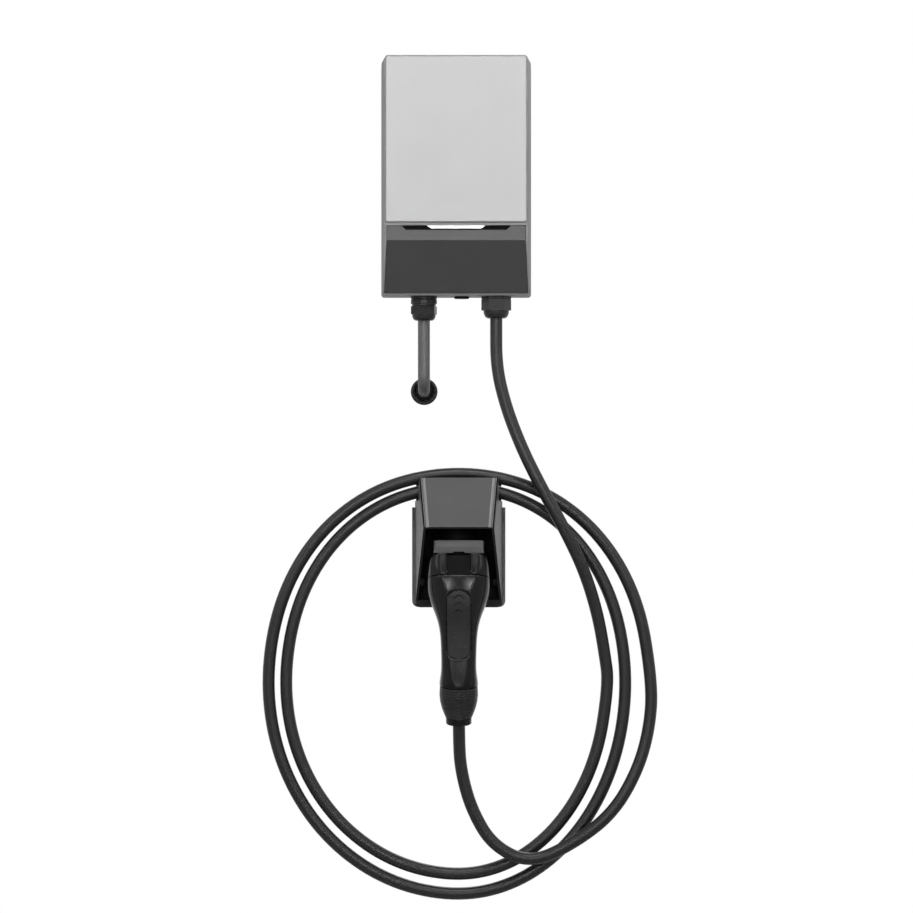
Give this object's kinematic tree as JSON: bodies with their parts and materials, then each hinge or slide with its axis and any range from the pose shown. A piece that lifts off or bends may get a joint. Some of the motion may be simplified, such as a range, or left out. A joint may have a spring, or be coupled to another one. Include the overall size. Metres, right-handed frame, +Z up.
{
  "type": "ev wallbox with cable holster",
  "caption": "Wall-mounted car charger with a silver front, a sloping lower cover, glands and a supply lead, and a holster that docks the connector and carries the coiled cable.",
  "frame": {"origin": "centre of the wall bracket's holes, on the wall", "axes": "+Z up, the wall is the plane Y = 0 and the front looks along -Y"},
  "size_m": [0.4976, 0.102, 1.0539],
  "materials": {
    "housing_plastic": "fine texture",
    "panel_metal": "satin silver",
    "cover_plastic": "fine texture",
    "black_plastic": "matt",
    "light_diffuser": "translucent white",
    "gland_plastic": "moulded",
    "black_rubber": "matt",
    "supply_jacket": "smooth",
    "cable_jacket": "smooth",
    "holster_plastic": "fine texture",
    "connector_plastic": "soft gloss",
    "button_plastic": "fine texture",
    "boot_rubber": "matt",
    "zinc_steel": "zinc plated",
    "board": "solder resist",
    "component_black": "matt",
    "shield_can": "tinned",
    "terminal_plastic": "matt",
    "core_insulation": "smooth",
    "insulator": "matt",
    "contact_metal": "silver plated"
  },
  "bodies": {
    "charger": {"rear_housing": "housing_plastic", "front_frame": "housing_plastic", "front_panel": "panel_metal", "lower_cover": "cover_plastic", "light_housing": "black_plastic", "light_bar": "light_diffuser", "supply_gland_body": "gland_plastic", "supply_gland_nut": "gland_plastic", "supply_lock_nut": "gland_plastic", "outlet_gland_body": "gland_plastic", "outlet_gland_nut": "gland_plastic", "outlet_lock_nut": "gland_plastic", "wall_grommet": "gland_plastic", "housing_gasket": "black_rubber", "entry_plug": "black_rubber", "supply_gland_seal": "black_rubber", "outlet_gland_seal": "black_rubber", "grommet_seal": "black_rubber", "supply_cable": "supply_jacket", "cable_lead": "cable_jacket", "cable_coil": "cable_jacket", "cable_tail": "cable_jacket", "holster_plate": "holster_plastic", "holster_hood": "holster_plastic", "dock_socket": "holster_plastic", "connector_collar": "connector_plastic", "connector_front_shell": "connector_plastic", "connector_rear_shell": "connector_plastic", "grip_boot": "boot_rubber", "cable_nut": "boot_rubber", "wall_bracket": "zinc_steel", "housing_screws": "zinc_steel", "board_screws": "zinc_steel", "holster_screws": "zinc_steel", "shell_screws": "zinc_steel", "latch_pin": "zinc_steel", "button_pin": "zinc_steel", "latch_spring": "zinc_steel", "main_board": "board", "light_board": "board", "relays": "component_black", "power_module": "component_black", "current_sensor": "component_black", "radio_module": "shield_can", "supply_terminals": "terminal_plastic", "outlet_terminals": "terminal_plastic", "supply_cores": "core_insulation", "outlet_cores": "core_insulation", "outlet_feed": "core_insulation", "pin_carrier": "insulator", "contacts": "contact_metal"},
    "button": {"release_button": "button_plastic"},
    "lever": {"latch_lever": "button_plastic"}
  },
  "joints": [
    {"name": "button_hinge", "type": "hinge", "parent": "charger", "child": "button", "pos_m": [0.0032, -0.08282, -0.5908], "axis": [-1, 0, 0], "range_deg": [0, 1.8], "stiffness_Nm_per_rad": 12},
    {"name": "latch_hinge", "type": "hinge", "parent": "charger", "child": "lever", "pos_m": [0.0032, -0.07929, -0.49139], "axis": [1, 0, 0], "range_deg": [0, 5.4], "deforming": ["latch_spring"]}
  ],
  "couplings": [
    {"joint": "latch_hinge", "follows": "button_hinge", "ratio": 3}
  ]
}
